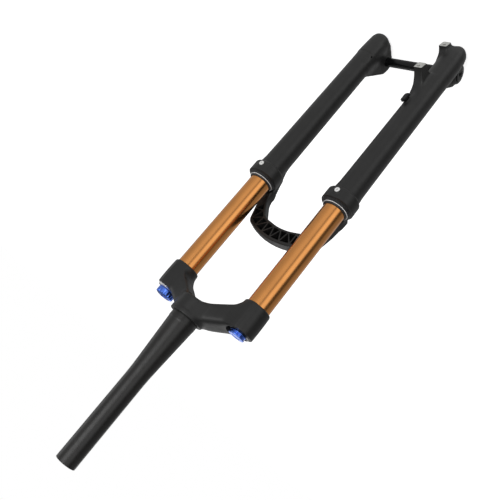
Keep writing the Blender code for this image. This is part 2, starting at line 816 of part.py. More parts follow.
def make_rebound_knob():
    """A dial in the right foot's recess, on a rod up the hollow damper shaft."""
    outline = [
        (0, -592.3 * MM),
        (6.4 * MM, -592.3 * MM),
        (7.2 * MM, -591.5 * MM),
        (7.2 * MM, -586.2 * MM),
        (2.2 * MM, -586.2 * MM),
        (2.2 * MM, -560 * MM),
        (0, -560 * MM),
    ]
    knob = turned("rebound_knob", outline, BLUE_ANODISED, leg(-1), steps=INNER_STEPS)
    for i in range(8):
        angle = math.pi * i / 4
        place = leg(-1) + Vector((math.cos(angle), math.sin(angle), 0)) * 8.2 * MM
        cut(knob, rod("flute", 1.6 * MM, -600 * MM, -587.5 * MM, at=place, steps=10))
    return knob


def make_axle():
    outline = [
        (0, -80 * MM),
        (AXLE_R - 1 * MM, -80 * MM),
        (AXLE_R, -78.5 * MM),
        (AXLE_R, AXLE_HEAD_X),
        (AXLE_HEAD_R, AXLE_HEAD_X),
        (AXLE_HEAD_R, 78.2 * MM),
        (AXLE_HEAD_R - 1.2 * MM, 79.4 * MM),
        (0, 79.4 * MM),
    ]
    axle = turned("thru_axle", outline, BLACK_ANODISED, (0, AXLE_Y, AXLE_Z), (1, 0, 0), INNER_STEPS)
    socket = prism(
        "hex_socket",
        [(2.9 * MM * math.cos(math.pi * i / 3), 2.9 * MM * math.sin(math.pi * i / 3)) for i in range(6)],
        72 * MM,
        90 * MM,
        frame=Matrix.Translation((0, AXLE_Y, AXLE_Z)) @ along((1, 0, 0)),
    )
    cut(axle, socket)
    return axle


def main():
    for old in list(bpy.data.objects):
        bpy.data.objects.remove(old)

    upper = [
        make_steerer(),
        make_crown(),
        make_stanchion(1, "stanchion_left"),
        make_stanchion(-1, "stanchion_right"),
        make_air_top_cap(),
        make_valve_core(),
        make_damper_top_cap(),
        make_air_seal_head(),
        *make_damper_body(),
    ]
    lower = [
        make_lowers(),
        *make_seals(1, "left"),
        *make_seals(-1, "right"),
        *make_air_spring(),
        *make_damper_rod(),
        *make_hose_guide(),
    ]
    crown_frame = pivot("crown_frame", (0, 0, 0))
    lowers_slide = pivot("lowers_slide", (0, LEG_Y, COLLAR_TOP))
    knob_axis = pivot("compression_axis", leg(-1) + Vector((0, 0, CAP_SEAT)))
    cap_axis = pivot("valve_cap_axis", leg(1) + Vector((0, 0, CAP_SEAT)))
    rebound_axis = pivot("rebound_axis", leg(-1) + Vector((0, 0, FOOT_BOTTOM)))
    axle_line = pivot("axle_line", (0, AXLE_Y, AXLE_Z))

    hang([lowers_slide, knob_axis, cap_axis], crown_frame)
    hang([rebound_axis, axle_line], lowers_slide)
    hang(upper, crown_frame)
    hang(lower, lowers_slide)
    hang([make_compression_knob()], knob_axis)
    hang([make_air_valve_cap()], cap_axis)
    hang([make_rebound_knob()], rebound_axis)
    hang([make_axle()], axle_line)


main()
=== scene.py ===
"""Looks for a mountain-bike suspension fork: finer meshes, materials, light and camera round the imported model.

Shapes are written in millimetres in the model's own frame: +Z up the steerer, -Y the front, +X the rider's
left. They become metres when a mesh is made.
"""

import math

import bmesh
import bpy
import numpy as np
from mathutils import Matrix, Vector


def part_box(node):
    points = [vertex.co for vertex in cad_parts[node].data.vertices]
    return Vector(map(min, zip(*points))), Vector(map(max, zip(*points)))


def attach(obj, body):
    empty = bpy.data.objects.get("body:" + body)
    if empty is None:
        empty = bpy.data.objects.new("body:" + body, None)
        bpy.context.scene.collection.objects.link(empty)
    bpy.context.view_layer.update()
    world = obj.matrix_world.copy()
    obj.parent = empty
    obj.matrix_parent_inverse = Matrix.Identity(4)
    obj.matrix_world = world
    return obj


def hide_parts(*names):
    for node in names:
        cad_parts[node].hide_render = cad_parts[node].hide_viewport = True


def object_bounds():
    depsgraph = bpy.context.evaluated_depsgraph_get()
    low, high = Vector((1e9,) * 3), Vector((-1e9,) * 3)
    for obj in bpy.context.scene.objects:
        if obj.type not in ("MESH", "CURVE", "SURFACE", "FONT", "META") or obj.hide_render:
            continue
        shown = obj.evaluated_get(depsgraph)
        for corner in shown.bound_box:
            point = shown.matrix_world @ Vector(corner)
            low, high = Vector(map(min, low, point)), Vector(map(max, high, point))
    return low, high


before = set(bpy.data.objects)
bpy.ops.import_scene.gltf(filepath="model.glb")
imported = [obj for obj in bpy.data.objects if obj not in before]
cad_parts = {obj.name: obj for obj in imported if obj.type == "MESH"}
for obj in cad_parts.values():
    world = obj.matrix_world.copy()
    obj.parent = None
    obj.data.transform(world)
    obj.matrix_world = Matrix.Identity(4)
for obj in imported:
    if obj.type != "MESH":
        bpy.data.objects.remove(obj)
cad_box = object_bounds()

MM = 0.001


def millimetres(node):
    """A node's lowest and highest corners."""
    low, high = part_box(node)
    return low / MM, high / MM


# Driving dimensions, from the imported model
low, high = millimetres("stanchion_left")
LEG_X, LEG_Y = (low.x + high.x) / 2, (low.y + high.y) / 2
STANCHION_R = (high.x - low.x) / 2
STANCHION_TOP, STANCHION_END = high.z, low.z
low, high = millimetres("thru_axle")
AXLE_Y, AXLE_Z = (low.y + high.y) / 2, (low.z + high.z) / 2
AXLE_TIP, AXLE_HEAD_END = low.x, high.x
low, high = millimetres("steerer_tube")
STEERER_TOP, STEERER_BOTTOM = high.z, low.z
low, high = millimetres("crown")
CLAMP_BOTTOM, BOSS_TOP = low.z, high.z
low, high = millimetres("lowers")
FOOT_BOTTOM = low.z

CAP_SEAT = -29.0
CLAMP_TOP = -28.4
BOSS_BOTTOM = -30.6
CLAMP_R = 20.0
SPOT_FACE_R = 17.6
COLLAR_TOP = -250.5
FOOT_STEP = -541.0
HUB_HALF = 55.0
LUG_R = 16.3
LUG_OUTER = 78.0
AXLE_R = 7.5
AXLE_HEAD_R = 10.4
AXLE_HEAD_X = 71.0
ARCH_FRONT, ARCH_REAR = -58.0, -40.0
CELL_FLOOR = 52.5  # the depth the arch's pockets reach, along -Y
POST_X = 57.5
POST_UPPER = Vector((POST_X, 26.0, -501.0))
POST_LOWER = Vector((POST_X, 9.0, -573.0))
POST_RUN = (POST_UPPER - POST_LOWER).normalized()
POST_NORMAL = POST_RUN.cross(Vector((1, 0, 0)))
BLEED_Z = -262.0
BLEED_SEAT = 25.9
GUIDE_OUT = Vector((-0.45, 0.893, 0)).normalized()
GUIDE_AT = Vector((LEG_X, LEG_Y, -456.0)) + GUIDE_OUT * 21.6
SADDLE_MIDDLE = 1.8  # how far the saddle reaches further up its leg than down

DROPOUT_OUT = Vector((0.86, 0.51, 0)).normalized()
DROPOUT_HOLE = Vector((-LEG_X, LEG_Y, -537)) + DROPOUT_OUT * 18.7

SIDES = 96  # of a turned piece
SHARP = math.radians(32)


# Mesh helpers


def finish_mesh(name, shape, material, smooth=True):
    """Turns a bmesh in millimetres into an object in metres."""
    bmesh.ops.remove_doubles(shape, verts=shape.verts, dist=1e-4)
    bmesh.ops.recalc_face_normals(shape, faces=shape.faces)
    shape.transform(Matrix.Scale(MM, 4))
    mesh = bpy.data.meshes.new(name)
    shape.to_mesh(mesh)
    shape.free()
    if smooth:
        mesh.shade_smooth()
        mesh.set_sharp_from_angle(angle=SHARP)
    mesh.materials.append(material)
    made = bpy.data.objects.new(name, mesh)
    bpy.context.scene.collection.objects.link(made)
    return made


def along(direction):
    """The rotation that takes +Z to a direction."""
    return Vector((0, 0, 1)).rotation_difference(Vector(direction)).to_matrix().to_4x4()


def leg(side, z=0.0):
    return Vector((side * LEG_X, LEG_Y, z))


def filleted(outline, count=5):
    """A closed outline whose (u, v, radius) corners are turned into arcs; (u, v) corners stay sharp."""
    points = []
    for i, corner in enumerate(outline):
        here = Vector(corner[:2])
        if len(corner) == 2:
            points.append(here)
            continue
        back = (Vector(outline[i - 1][:2]) - here).normalized()
        ahead = (Vector(outline[(i + 1) % len(outline)][:2]) - here).normalized()
        half = back.angle(ahead) / 2
        if half > math.radians(88):
            points.append(here)
            continue
        radius = corner[2]
        center = here + (back + ahead).normalized() * radius / math.sin(half)
        start = (here + back * radius / math.tan(half) - center).normalized()
        end = (here + ahead * radius / math.tan(half) - center).normalized()
        points += [center + start.slerp(end, k / count) * radius for k in range(count + 1)]
    return points


def turned(name, outline, material, at=(0, 0, 0), axis=(0, 0, 1), sides=SIDES, flutes=None):
    """A closed outline of (radius, height) or (radius, height, fillet) corners turned about an axis.

    flutes is (count, depth, from height, to height, least radius): scallops pressed into the outside.
    """
    points = filleted(outline)
    shape = bmesh.new()
    rings = []
    for radius, height in points:
        if radius < 1e-4:
            rings.append([shape.verts.new((0, 0, height))] * sides)
            continue
        ring = []
        for i in range(sides):
            turn = 2 * math.pi * i / sides
            reach = radius
            if flutes and flutes[2] <= height <= flutes[3] and radius > flutes[4]:
                reach -= flutes[1] * max(0.0, math.cos(turn * flutes[0])) ** 0.8
            ring.append(shape.verts.new((reach * math.cos(turn), reach * math.sin(turn), height)))
        rings.append(ring)
    for first, second in zip(rings, rings[1:] + rings[:1]):
        for i in range(sides):
            corners = [first[i - 1], first[i], second[i], second[i - 1]]
            unique = [v for k, v in enumerate(corners) if v not in corners[:k]]
            if len(unique) > 2:
                shape.faces.new(unique)
    shape.transform(Matrix.Translation(at) @ along(axis))
    return finish_mesh(name, shape, material)


def prism(name, outline, low, high, material, place=Matrix.Identity(4), taper=1.0):
    """A flat outline pushed along its frame's Z; taper scales its far end about the outline's middle."""
    shape = bmesh.new()
    points = filleted(outline)
    middle = sum(points, Vector((0, 0))) / len(points)
    far = [middle + (point - middle) * taper for point in points]
    base = [shape.verts.new((*point, low)) for point in points]
    top = [shape.verts.new((*point, high)) for point in far]
    shape.faces.new(base)
    shape.faces.new(top)
    for i in range(len(points)):
        shape.faces.new((base[i - 1], base[i], top[i], top[i - 1]))
    shape.transform(place)
    return finish_mesh(name, shape, material)


def joined(pieces):
    """One object from several that don't touch."""
    shape = bmesh.new()
    for piece in pieces:
        shape.from_mesh(piece.data)
    mesh = pieces[0].data
    shape.to_mesh(mesh)
    shape.free()
    for piece in pieces[1:]:
        bpy.data.objects.remove(piece)
    return pieces[0]


def cut(body, tool):
    """Takes a tool's shape out of a body and bakes the result."""
    change = body.modifiers.new("cut", "BOOLEAN")
    change.object = tool
    change.operation = "DIFFERENCE"
    change.solver = "MANIFOLD"
    graph = bpy.context.evaluated_depsgraph_get()
    mesh = bpy.data.meshes.new_from_object(body.evaluated_get(graph))
    body.modifiers.remove(change)
    body.data = mesh
    bpy.data.objects.remove(tool)
    mesh.shade_smooth()
    mesh.set_sharp_from_angle(angle=SHARP)


# Distance fields: negative inside, in millimetres


def smooth_min(a, b, reach):
    """The union of two fields with a fillet about reach wide."""
    mix = np.clip(0.5 + 0.5 * (b - a) / reach, 0, 1)
    return b + (a - b) * mix - reach * mix * (1 - mix)


def smooth_max(a, b, reach):
    return -smooth_min(-a, -b, reach)


def slab(value, low, high):
    return np.maximum(low - value, value - high)


def polygon_field(points, u, v):
    """The distance to a flat outline."""
    shape = np.broadcast(u, v).shape
    nearest = np.full(shape, 1e9)
    inside = np.zeros(shape, bool)
    for (au, av), (bu, bv) in zip(points, points[1:] + points[:1]):
        du, dv = bu - au, bv - av
        pu, pv = u - au, v - av
        t = np.clip((pu * du + pv * dv) / (du * du + dv * dv), 0, 1)
        nearest = np.minimum(nearest, (pu - t * du) ** 2 + (pv - t * dv) ** 2)
        if dv:
            crosses = ((av > v) != (bv > v)) & (u < au + (v - av) * du / dv)
            inside ^= crosses
    return np.where(inside, -1.0, 1.0) * np.sqrt(nearest)


def extruded(flat, depth, rounding):
    """A flat field given thickness by a second field, with its edges rounded."""
    a, b = flat + rounding, depth + rounding
    return np.minimum(np.maximum(a, b), 0) + np.hypot(np.maximum(a, 0), np.maximum(b, 0)) - rounding


def cone_field(x, y, z, start, end, start_r, end_r):
    """A round bar from one point to another whose radius changes on the way."""
    ax, ay, az = start
    dx, dy, dz = (b - a for a, b in zip(start, end))
    t = ((x - ax) * dx + (y - ay) * dy + (z - az) * dz) / (dx * dx + dy * dy + dz * dz)
    t = np.clip(t, 0, 1)
    away = (x - ax - t * dx) ** 2 + (y - ay - t * dy) ** 2 + (z - az - t * dz) ** 2
    return np.sqrt(away) - start_r - t * (end_r - start_r)


def hull_planes(points):
    """The planes round the convex hull of some points: (normal, distance)."""
    shape = bmesh.new()
    for point in points:
        shape.verts.new(point)
    bmesh.ops.convex_hull(shape, input=shape.verts)
    middle = sum((vert.co for vert in shape.verts), Vector()) / len(shape.verts)
    planes = []
    for face in shape.faces:
        face.normal_update()
        outward = face.normal if face.normal.dot(face.verts[0].co - middle) > 0 else -face.normal
        planes.append((*outward, outward.dot(face.verts[0].co)))
    shape.free()
    return planes


def hull_field(planes, x, y, z, softness):
    """A convex body whose edges are rounded by about softness."""
    away = [nx * x + ny * y + nz * z - distance for nx, ny, nz, distance in planes]
    highest = away[0]
    for value in away[1:]:
        highest = np.maximum(highest, value)
    total = sum(np.exp((value - highest) / softness) for value in away)
    return highest + softness * np.log(total) - softness * 0.7


def profile(points, softness):
    """A smooth function through (position, value) points, from a table blurred by softness."""
    points = sorted(points)
    at = np.arange(points[0][0] - 4 * softness, points[-1][0] + 4 * softness, 0.2)
    values = np.interp(at, [p[0] for p in points], [p[1] for p in points])
    width = int(round(3 * softness / 0.2))
    weights = np.exp(-0.5 * (np.arange(-width, width + 1) * 0.2 / softness) ** 2)
    padded = np.pad(values, width, mode="edge")
    blurred = np.convolve(padded, weights / weights.sum(), mode="valid")
    return lambda position: np.interp(position, at, blurred)


CORNERS = [(i >> 2 & 1, i >> 1 & 1, i & 1) for i in range(8)]
CELL_EDGES = [(a, b) for a in range(8) for b in range(a + 1, 8) if bin(a ^ b).count("1") == 1]


def sculpt(name, field, low, high, step, material):
    """Meshes the zero level of a distance field by surface nets, then slides the points onto it."""
    axes = [np.arange(a, b + step, step) for a, b in zip(low, high)]
    x, y, z = axes[0][:, None, None], axes[1][None, :, None], axes[2][None, None, :]
    values = np.broadcast_to(field(x, y, z), [len(a) for a in axes]).astype(np.float32)
    inside = values < 0
    counts = [len(a) - 1 for a in axes]

    def corner(grid, offset):
        return grid[tuple(slice(o, o + n) for o, n in zip(offset, counts))]

    some = np.zeros(counts, bool)
    every = np.ones(counts, bool)
    for offset in CORNERS:
        part = corner(inside, offset)
        some |= part
        every &= part
    cells = np.argwhere(some & ~every)
    index = np.full(counts, -1, np.int64)
    index[tuple(cells.T)] = np.arange(len(cells))
    at_corner = np.stack([values[tuple((cells + offset).T)] for offset in CORNERS], 1)
    total = np.zeros((len(cells), 3))
    hits = np.zeros(len(cells))
    for a, b in CELL_EDGES:
        va, vb = at_corner[:, a], at_corner[:, b]
        crossed = (va < 0) != (vb < 0)
        t = np.where(crossed, va / np.where(crossed, va - vb, 1), 0)
        point = np.array(CORNERS[a]) + t[:, None] * (np.array(CORNERS[b]) - np.array(CORNERS[a]))
        total += point * crossed[:, None]
        hits += crossed
    points = (cells + total / hits[:, None]) * step + np.array([a[0] for a in axes])

    quads = []
    for axis in range(3):
        u, v = (axis + 1) % 3, (axis + 2) % 3
        first = [slice(1, n) for n in counts]
        first[axis] = slice(0, counts[axis])
        second = list(first)
        second[axis] = slice(1, counts[axis] + 1)
        here, there = inside[tuple(first)], inside[tuple(second)]
        for outward in (True, False):
            edges = np.argwhere((here != there) & (here == outward))
            base = edges + 1
            base[:, axis] = edges[:, axis]
            corners = []
            for du, dv in ((0, 0), (1, 0), (1, 1), (0, 1)):
                cell = base.copy()
                cell[:, u] -= du
                cell[:, v] -= dv
                corners.append(index[tuple(cell.T)])
            quads.append(np.stack(corners if outward else corners[::-1], 1))
    quads = np.concatenate(quads)

    ends = np.concatenate([quads[:, [0, 1]], quads[:, [1, 2]], quads[:, [2, 3]], quads[:, [3, 0]]])
    degree = np.bincount(ends.ravel(), minlength=len(points))[:, None]
    for _ in range(3):
        mean = np.zeros_like(points)
        for k in range(3):
            mean[:, k] = np.bincount(ends[:, 0], points[ends[:, 1], k], len(points))
            mean[:, k] += np.bincount(ends[:, 1], points[ends[:, 0], k], len(points))
        points = points + 0.6 * (mean / degree - points)
        for _ in range(2):
            px, py, pz = points.T
            here = field(px, py, pz)
            probe = 0.05
            slope = np.stack(
                [
                    field(px + probe, py, pz) - here,
                    field(px, py + probe, pz) - here,
                    field(px, py, pz + probe) - here,
                ],
                1,
            )
            slope /= probe
            steep = np.maximum((slope**2).sum(1), 0.25)
            points = points - np.clip(here / steep, -step, step)[:, None] * slope
    mesh = bpy.data.meshes.new(name)
    mesh.from_pydata((points * MM).tolist(), [], quads.tolist())
    mesh.update()
    mesh.shade_smooth()
    mesh.materials.append(material)
    made = bpy.data.objects.new(name, mesh)
    bpy.context.scene.collection.objects.link(made)
    return made


# Materials


class Nodes:
    """A short way to write a node material."""

    def __init__(self, name):
        self.material = bpy.data.materials.new(name)
        self.material.use_nodes = True
        self.tree = self.material.node_tree
        self.shader = self.tree.nodes["Principled BSDF"]
        self.place = self.add("ShaderNodeTexCoord").outputs["Object"]

    def add(self, kind, links=None, **values):
        node = self.tree.nodes.new(kind)
        for key, value in values.items():
            if hasattr(node, key):
                setattr(node, key, value)
            else:
                node.inputs[key].default_value = value
        for key, source in (links or {}).items():
            self.tree.links.new(source, node.inputs[key])
        return node

    def noise(self, size, detail=3.0, stretch=(1, 1, 1)):
        """Noise whose grain is about size metres across, in the model's frame."""
        scaled = self.add("ShaderNodeMapping", {"Vector": self.place})
        scaled.inputs["Scale"].default_value = [s / size for s in stretch]
        node = self.add("ShaderNodeTexNoise", {"Vector": scaled.outputs["Vector"]})
        node.inputs["Scale"].default_value = 1.0
        node.inputs["Detail"].default_value = detail
        return node.outputs["Fac"]

    def spread(self, value, low, high, low_from=0.3, high_from=0.7):
        node = self.add("ShaderNodeMapRange", {"Value": value})
        node.inputs["From Min"].default_value = low_from
        node.inputs["From Max"].default_value = high_from
        node.inputs["To Min"].default_value = low
        node.inputs["To Max"].default_value = high
        return node.outputs["Result"]

    def blend(self, factor, first, second):
        node = self.add("ShaderNodeMix", data_type="RGBA")
        colors = [socket for socket in node.inputs if socket.type == "RGBA"]
        colors[0].default_value = (*first, 1)
        colors[1].default_value = (*second, 1)
        self.tree.links.new(factor, node.inputs[0])
        return [socket for socket in node.outputs if socket.type == "RGBA"][0]

    def bump(self, height, distance, strength=1.0, below=None):
        node = self.add("ShaderNodeBump", {"Height": height})
        node.inputs["Strength"].default_value = strength
        node.inputs["Distance"].default_value = distance
        if below is not None:
            self.tree.links.new(below, node.inputs["Normal"])
        return node.outputs["Normal"]

    def link(self, source, socket):
        self.tree.links.new(source, self.shader.inputs[socket])

    def set(self, **values):
        for key, value in values.items():
            self.shader.inputs[key.replace("_", " ")].default_value = value


def painted(name, color, roughness):
    """Satin powder coat: a fine orange peel over a faint casting texture."""
    nodes = Nodes(name)
    patches = nodes.noise(0.03, 4)
    lighter = tuple(c * 1.25 + 0.002 for c in color)
    nodes.link(nodes.blend(nodes.spread(patches, 0, 1), color, lighter), "Base Color")
    nodes.link(nodes.spread(nodes.noise(0.004, 4), roughness - 0.04, roughness + 0.05), "Roughness")
    peel = nodes.bump(nodes.noise(0.0012, 2), 0.00006, 0.5)
    nodes.link(nodes.bump(nodes.noise(0.012, 3), 0.0002, 0.25, peel), "Normal")
    nodes.set(Specular_IOR_Level=0.45)
    return nodes.material


def anodised(name, color, roughness, axis=2, metallic=1.0, fade=0.8):
    """Dyed, turned metal: fine lines round the axis and a slow change in the dye."""
    nodes = Nodes(name)
    darker = tuple(c * fade for c in color)
    nodes.link(nodes.blend(nodes.spread(nodes.noise(0.04, 3), 0, 1), darker, color), "Base Color")
    stretch = [0.02, 0.02, 0.02]
    stretch[axis] = 1
    lines = nodes.noise(0.00035, 3, stretch)
    nodes.link(nodes.spread(lines, roughness - 0.03, roughness + 0.05), "Roughness")
    nodes.link(nodes.bump(lines, 0.00001, 0.35), "Normal")
    nodes.set(Metallic=metallic)
    return nodes.material


def machined(name, color, roughness, size=0.0004, metallic=1.0):
    """Bare turned or milled metal with tool marks and light handling stains."""
    nodes = Nodes(name)
    darker = tuple(c * 0.75 for c in color)
    nodes.link(nodes.blend(nodes.spread(nodes.noise(0.006, 4), 0, 1), darker, color), "Base Color")
    marks = nodes.noise(size, 2, (1, 0.15, 1))
    nodes.link(nodes.spread(marks, roughness - 0.06, roughness + 0.08), "Roughness")
    nodes.link(nodes.bump(marks, 0.00002, 0.4), "Normal")
    nodes.set(Metallic=metallic)
    return nodes.material


def rubber(name, color, roughness):
    """Moulded rubber: matte, with a dusty bloom."""
    nodes = Nodes(name)
    bloom = tuple(c * 1.8 + 0.006 for c in color)
    nodes.link(nodes.blend(nodes.spread(nodes.noise(0.008, 5), 0, 1), color, bloom), "Base Color")
    nodes.link(nodes.spread(nodes.noise(0.001, 3), roughness - 0.08, roughness + 0.08), "Roughness")
    nodes.link(nodes.bump(nodes.noise(0.0006, 3), 0.00004, 0.4), "Normal")
    return nodes.material


def wound_wire(name, color, turns):
    """A close-wound wire ring on a leg's axis: its turns are ridges round the ring, with painted shade in the
    grooves between them.
    """
    nodes = Nodes(name)
    parts = nodes.add("ShaderNodeSeparateXYZ", {"Vector": nodes.place})
    across = nodes.add("ShaderNodeMath", {0: parts.outputs["X"]}, operation="ABSOLUTE")
    across = nodes.add("ShaderNodeMath", {0: across.outputs[0]}, operation="SUBTRACT")
    across.inputs[1].default_value = LEG_X * MM
    deep = nodes.add("ShaderNodeMath", {0: parts.outputs["Y"]}, operation="SUBTRACT")
    deep.inputs[1].default_value = LEG_Y * MM
    angle = nodes.add("ShaderNodeMath", {0: deep.outputs[0], 1: across.outputs[0]}, operation="ARCTAN2")
    count = nodes.add("ShaderNodeMath", {0: angle.outputs[0]}, operation="MULTIPLY")
    count.inputs[1].default_value = turns
    ridge = nodes.add("ShaderNodeMath", {0: count.outputs[0]}, operation="SINE")
    nodes.link(nodes.bump(ridge.outputs[0], 0.00012, 0.8), "Normal")
    # painted shade: the colour is darker in the grooves between the turns, where the ridge dips
    darker = tuple(c * 0.7 for c in color)
    nodes.link(nodes.blend(nodes.spread(ridge.outputs[0], 0, 1, -0.9, 0), darker, color), "Base Color")
    nodes.set(Metallic=0.7, Roughness=0.28)
    return nodes.material


def cellular(name, color):
    """Open-cell foam, with painted shade in the hollows of its pores."""
    nodes = Nodes(name)
    cells = nodes.noise(0.0009, 5)
    # painted shade: the colour is darker where the bump dips, in the pores
    dark = tuple(c * 0.3 for c in color)
    nodes.link(nodes.blend(nodes.spread(cells, 0, 1), dark, color), "Base Color")
    nodes.link(nodes.bump(cells, 0.0004, 0.9), "Normal")
    nodes.set(Roughness=0.95)
    return nodes.material


PAINT = painted("paint_satin_black", (0.0075, 0.0075, 0.0073), 0.43)
STEERER_BLACK = painted("steerer_satin_black", (0.0085, 0.008, 0.0075), 0.34)
BLACK_ANODISED = anodised("anodised_black", (0.012, 0.012, 0.013), 0.3, metallic=0.6)
AXLE_BLACK = anodised("anodised_black_axle", (0.006, 0.006, 0.0065), 0.16, axis=0, metallic=0.4)
BRONZE = anodised("anodised_bronze", (0.8, 0.345, 0.105), 0.19, fade=0.9)
BLUE = anodised("anodised_blue", (0.13, 0.27, 0.92), 0.26, fade=0.85)
RUBBER = rubber("rubber_black", (0.008, 0.008, 0.009), 0.5)
ELASTOMER = rubber("elastomer_amber", (0.5, 0.26, 0.05), 0.5)
NICKEL = machined("nickel_bright", (0.95, 0.95, 0.94), 0.35, metallic=0.1)
BARE = machined("aluminium_machined", (0.9, 0.9, 0.89), 0.3, metallic=0.6)
POST_FACE = machined("aluminium_milled_face", (0.6, 0.6, 0.57), 0.45, 0.0008, 0.3)
STEEL = machined("steel_plated", (0.55, 0.55, 0.56), 0.22)
DARK_STEEL = machined("steel_blackened", (0.06, 0.06, 0.062), 0.35)
BUSH = machined("bush_bronze", (0.42, 0.3, 0.16), 0.4)
WIRE = wound_wire("wound_steel_wire", (0.95, 0.95, 0.95), 170)
FOAM = cellular("foam_oiled", (0.09, 0.09, 0.1))


# Crown

# distance from the steerer's axis, then the arm's top, bottom, front and rear
ARM = [
    (0, -5.5, -29.5, -26, 12),
    (14, -6, -32.5, -26.5, 11),
    (26, -9.5, -38.6, -29, 8.5),
    (38, -15.5, -46.2, -32, 6),
    (50, -21.5, -53, -34, 4.5),
    (60, -25.5, -60, -34.5, 3.5),
    (71, -27.5, -64, -34, 2),
]
arm_top, arm_bottom, arm_front, arm_rear = (profile([(row[0], row[k]) for row in ARM], 4.0) for k in range(1, 5))


def arm_field(out, y, z):
    """One arm, a squared oval in section whose underside falls slightly towards the rear."""
    half_y = (arm_rear(out) - arm_front(out)) / 2
    from_middle = y - (arm_rear(out) + arm_front(out)) / 2
    across = np.abs(from_middle) / half_y
    bottom = arm_bottom(out) - 0.08 * from_middle
    half_z = (arm_top(out) - bottom) / 2
    up = np.abs(z - (arm_top(out) + bottom) / 2) / half_z
    squareness = 5.0
    reach = (across**squareness + up**squareness) ** (1 / squareness)
    return np.maximum((reach - 1) * np.minimum(half_y, half_z) * 0.9, out - 72)


def crown_field(x, y, z):
    out = np.abs(x)
    arm = arm_field(out, y, z)
    from_steerer = np.hypot(x, y)
    boss = smooth_max(from_steerer - 24.4, slab(z, BOSS_BOTTOM, BOSS_TOP + 1), 4.0)
    body = smooth_min(arm, boss, 6.5)
    flange = extruded(from_steerer - 24.9, slab(z, -9.5, BOSS_TOP), 1.1)
    body = smooth_min(np.maximum(body, z - BOSS_TOP + 0.5), flange, 2.0)
    from_leg = np.hypot(out - LEG_X, y - LEG_Y)
    bulge = 0.5 * np.clip(1 - ((z + 49) / 20) ** 2, 0, 1)
    clamp = smooth_max(from_leg - CLAMP_R - bulge, CLAMP_BOTTOM - z, 3.0)
    clamp = smooth_max(clamp, z - CLAMP_TOP, 1.3)
    body = smooth_min(body, clamp, 8.0)
    pocket = np.maximum(arm + 3.0, z - arm_bottom(out) - 10.0)
    pocket = smooth_max(pocket, 25.5 - from_steerer, 2.0)
    pocket = smooth_max(pocket, 22.5 - from_leg, 2.0)
    return smooth_max(body, -pocket, 1.2)


def make_crown():
    low, high = millimetres("crown")
    margin = Vector((3, 3, 3))
    crown = sculpt("crown_forging", crown_field, low - margin, high + margin, 0.8, PAINT)
    for side in (1, -1):
        socket = [
            (0, CLAMP_BOTTOM - 10),
            (STANCHION_R + 1.3, CLAMP_BOTTOM - 10),
            (STANCHION_R + 1.3, CLAMP_BOTTOM - 0.2),
            (STANCHION_R + 0.12, CLAMP_BOTTOM + 1.0),
            (STANCHION_R + 0.12, STANCHION_TOP + 0.3),
            (15.3, STANCHION_TOP + 0.3),
            (15.3, CAP_SEAT),
            (SPOT_FACE_R, CAP_SEAT, 0.4),
            (SPOT_FACE_R, 10),
            (0, 10),
        ]
        cut(crown, turned("socket", socket, PAINT, leg(side)))
    seat = [(0, -60), (20.0, -60), (20.0, BOSS_TOP - 1.0), (21.0, BOSS_TOP + 0.2), (21.0, 20), (0, 20)]
    cut(crown, turned("seat", seat, PAINT))
    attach(crown, "crown_assembly")
    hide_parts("crown")


def make_steerer():
    outline = [
        (16.2, STEERER_BOTTOM, 0.4),
        (19.9, STEERER_BOTTOM, 0.4),
        (19.9, 5.0, 1.5),
        (19.5, 7.0, 4),
        (14.6, 84, 60),
        (14.3, 96),
        (14.3, STEERER_TOP, 0.5),
        (11.6, STEERER_TOP, 0.5),
        (11.6, 110, 8),
        (16.2, 12, 8),
    ]
    steerer = turned("steerer", outline, STEERER_BLACK, sides=128)
    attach(steerer, "crown_assembly")
    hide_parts("steerer_tube")


def make_stanchions():
    for side, word in ((1, "left"), (-1, "right")):
        outline = [
            (14.8, STANCHION_END, 0.3),
            (17.0, STANCHION_END, 0.9),
            (17.0, STANCHION_TOP, 0.3),
            (14.8, STANCHION_TOP, 0.3),
        ]
        tube = turned(f"stanchion_tube_{word}", outline, BRONZE, leg(side), sides=128)
        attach(tube, "crown_assembly")
        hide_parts(f"stanchion_{word}")


